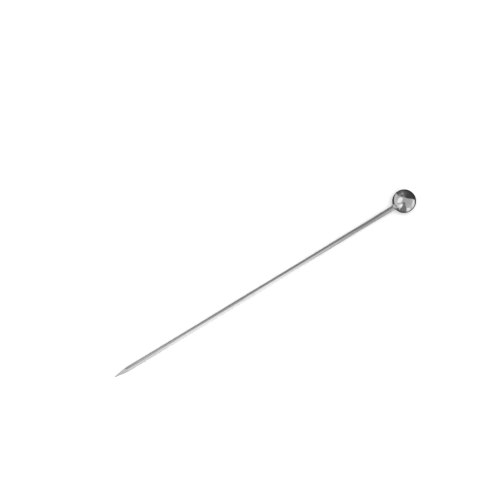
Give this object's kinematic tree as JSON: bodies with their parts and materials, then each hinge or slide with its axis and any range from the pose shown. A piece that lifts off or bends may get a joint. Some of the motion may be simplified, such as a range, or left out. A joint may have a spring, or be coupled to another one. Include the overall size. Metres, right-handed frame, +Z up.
{
  "type": "cocktail pick",
  "caption": "Cocktail pick: a thin straight steel wire, ground to a point at one end, with a mirror-polished steel ball brazed on at the other",
  "frame": {"origin": "On the table, below the middle of the pick as it lies at rest", "axes": "+X along the pick to the ball end, -X to the point, +Z up; the wire's axis falls by 1.68 degrees towards the point, because the ball and the heel of the point both touch the table"},
  "size_m": [0.11, 0.0074, 0.0075],
  "materials": {
    "drawn_steel": "satin",
    "polished_steel": "polished",
    "braze_metal": "satin"
  },
  "bodies": {
    "root": {"pick_shaft": "drawn_steel", "ball_head": "polished_steel", "braze_fillet": "braze_metal"}
  },
  "joints": []
}
